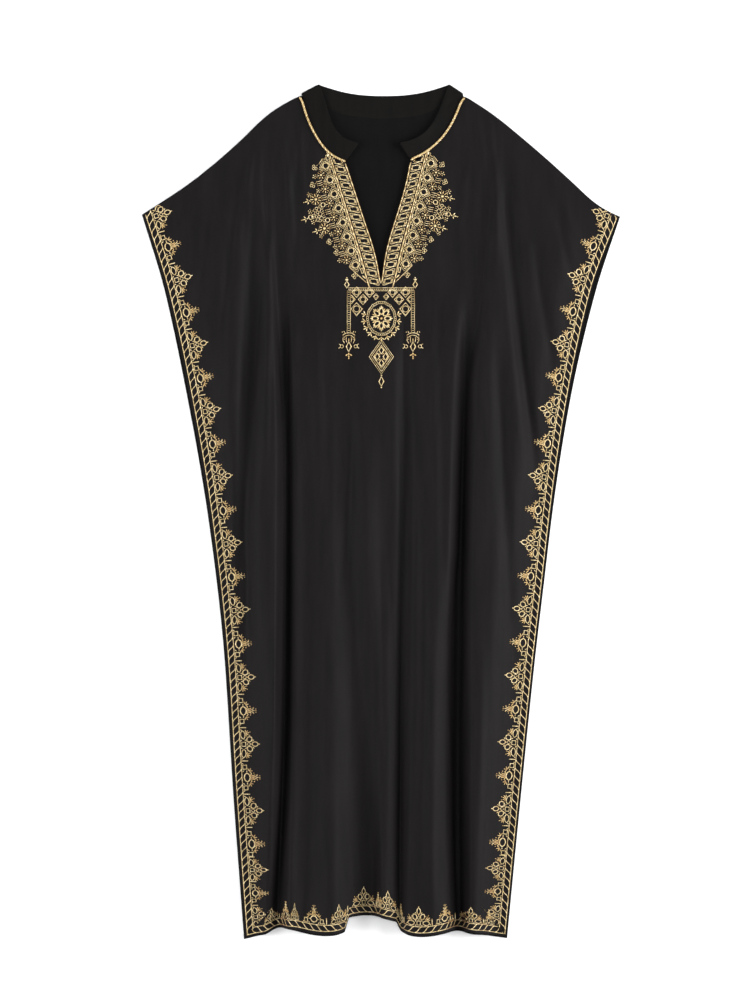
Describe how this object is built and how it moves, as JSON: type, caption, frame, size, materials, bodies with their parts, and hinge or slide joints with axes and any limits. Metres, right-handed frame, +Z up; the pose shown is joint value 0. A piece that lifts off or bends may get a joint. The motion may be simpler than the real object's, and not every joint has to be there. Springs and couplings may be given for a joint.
{
  "type": "beach kaftan laid flat",
  "caption": "Long open-sleeved beach kaftan of dark soft cloth, laid out front up, with a V slit, a narrow band collar and gold embroidered borders",
  "frame": {"origin": "middle of the laid garment's outline, on the surface it lies on", "axes": "+Z up from the surface, out of the garment's front; +Y from the hem to the neck; +X to the right of the laid garment"},
  "size_m": [0.7173, 1.2825, 0.0453],
  "materials": {
    "front_cloth": "soft sheen",
    "back_cloth": "soft sheen",
    "collar_cloth": "matt",
    "gold_cord": "metallic thread"
  },
  "bodies": {
    "root": {"front_panel": "front_cloth", "back_panel": "back_cloth", "collar_band": "collar_cloth", "neck_cord_left": "gold_cord", "neck_cord_right": "gold_cord"}
  },
  "joints": []
}
